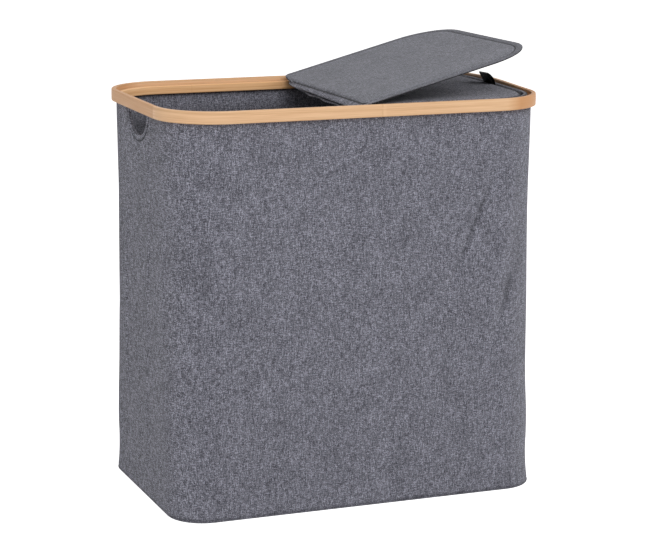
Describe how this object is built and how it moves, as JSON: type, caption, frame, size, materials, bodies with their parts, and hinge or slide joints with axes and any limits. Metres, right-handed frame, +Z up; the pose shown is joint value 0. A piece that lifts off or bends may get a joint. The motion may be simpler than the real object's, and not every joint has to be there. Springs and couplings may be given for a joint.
{
  "type": "laundry hamper with two bins",
  "caption": "Tall rectangular laundry hamper: a cloth bag with a divider hangs from a rounded bamboo rim, with hand holes and a folding cloth lid that lies in the rim.",
  "frame": {"origin": "on the floor, at the centre of the hamper's plan", "axes": "+X along the long side towards the bin that the folded lid lies over, +Y to the back, +Z up"},
  "size_m": [0.55, 0.352, 0.624],
  "materials": {
    "bamboo": "clear satin lacquer over bent laminated bamboo",
    "heather_cloth": "matt melange plain weave, grey with a bluish cast",
    "hardboard": "smooth brown pressed fibreboard",
    "black_steel": "black powder-coated wire",
    "black_plastic": "moulded matt plastic",
    "ribbon": "black woven ribbon with a slight shine"
  },
  "bodies": {
    "hamper": {"rim_outer_band": "bamboo", "rim_inner_band": "bamboo", "bag_wall": "heather_cloth", "bag_floor": "heather_cloth", "divider_panel": "heather_cloth", "divider_binding": "heather_cloth", "base_board_left": "hardboard", "base_board_right": "hardboard", "handle_facing_left": "heather_cloth", "handle_facing_right": "heather_cloth", "support_rod_front_left": "black_steel", "support_rod_back_left": "black_steel", "support_rod_front_right": "black_steel", "support_rod_back_right": "black_steel", "rod_foot_front_left": "black_plastic", "rod_foot_back_left": "black_plastic", "rod_foot_front_right": "black_plastic", "rod_foot_back_right": "black_plastic", "rod_tip_front_left": "black_plastic", "rod_tip_back_left": "black_plastic", "rod_tip_front_right": "black_plastic", "rod_tip_back_right": "black_plastic", "rod_sleeve_front_left": "heather_cloth", "rod_sleeve_back_left": "heather_cloth", "rod_sleeve_front_right": "heather_cloth", "rod_sleeve_back_right": "heather_cloth"},
    "lid_right": {"lid_right_top_cover": "heather_cloth", "lid_right_board": "hardboard", "lid_right_lining": "heather_cloth", "pull_tab_right": "ribbon", "hinge_strip": "heather_cloth"},
    "lid_left": {"lid_left_top_cover": "heather_cloth", "lid_left_board": "hardboard", "lid_left_lining": "heather_cloth", "pull_tab_left": "ribbon"}
  },
  "joints": [
    {"name": "lid_lift", "type": "slide", "parent": "hamper", "child": "lid_right", "axis": [0, 0, 1], "range_m": [0, 0.3]},
    {"name": "left_lid_fold", "type": "hinge", "parent": "lid_right", "child": "lid_left", "pos_m": [-0.0004, 0, 0.5531], "axis": [0, -1, 0], "range_deg": [0, 165.3]}
  ]
}
